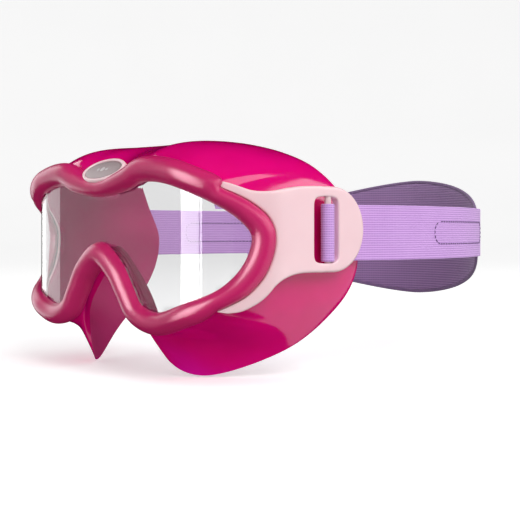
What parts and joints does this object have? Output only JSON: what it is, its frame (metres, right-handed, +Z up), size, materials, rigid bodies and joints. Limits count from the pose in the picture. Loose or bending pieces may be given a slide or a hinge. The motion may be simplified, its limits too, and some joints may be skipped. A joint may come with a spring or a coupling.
{
  "type": "swim mask",
  "caption": "One-window swim mask with a wraparound lens, soft face skirt, hard side arms with strap pins and an elastic head strap with a wide back panel.",
  "frame": {"origin": "middle of the face seal: on the plane of symmetry, level with the strap's centreline, straight under the forehead lip of the skirt", "axes": "+X towards the wearer's left, +Y towards the back of the head (the lens faces -Y), +Z up"},
  "size_m": [0.1544, 0.2133, 0.0946],
  "materials": {
    "clear_lens": "clear moulded polycarbonate, polished",
    "pale_pink_plastic": "satin moulded plastic",
    "magenta_rim": "satin soft rubber",
    "magenta_skirt": "glossy slightly translucent soft rubber",
    "mauve_badge": "satin",
    "white_mark": "satin",
    "lilac_webbing": "ribbed woven elastic",
    "violet_elastic": "ribbed woven elastic",
    "violet_edging": "woven edging",
    "violet_thread": "sewing thread"
  },
  "bodies": {
    "mask": {"lens": "clear_lens", "lens_frame": "pale_pink_plastic", "rim_bead": "magenta_rim", "face_skirt": "magenta_skirt", "brow_badge": "mauve_badge", "badge_emblem": "white_mark", "left_arm": "pale_pink_plastic", "right_arm": "pale_pink_plastic"},
    "left_strap_pin": {"left_pin": "pale_pink_plastic"},
    "right_strap_pin": {"right_pin": "pale_pink_plastic"},
    "strap": {"back_panel": "violet_elastic", "panel_binding": "violet_edging", "left_strap": "lilac_webbing", "right_strap": "lilac_webbing", "left_stitching": "violet_thread", "right_stitching": "violet_thread"}
  },
  "joints": [
    {"name": "strap_stretch", "type": "slide", "parent": "mask", "child": "strap", "axis": [0, 1, 0], "range_m": [0, 0.03], "stiffness_N_per_m": 150, "deforming": ["left_strap", "right_strap"]},
    {"name": "left_pin_turn", "type": "hinge", "parent": "mask", "child": "left_strap_pin", "pos_m": [0.0743, 0.015, 0.0006], "axis": [0, 0, 1], "continuous": true},
    {"name": "right_pin_turn", "type": "hinge", "parent": "mask", "child": "right_strap_pin", "pos_m": [-0.0743, 0.015, 0.0006], "axis": [0, 0, 1], "continuous": true}
  ]
}
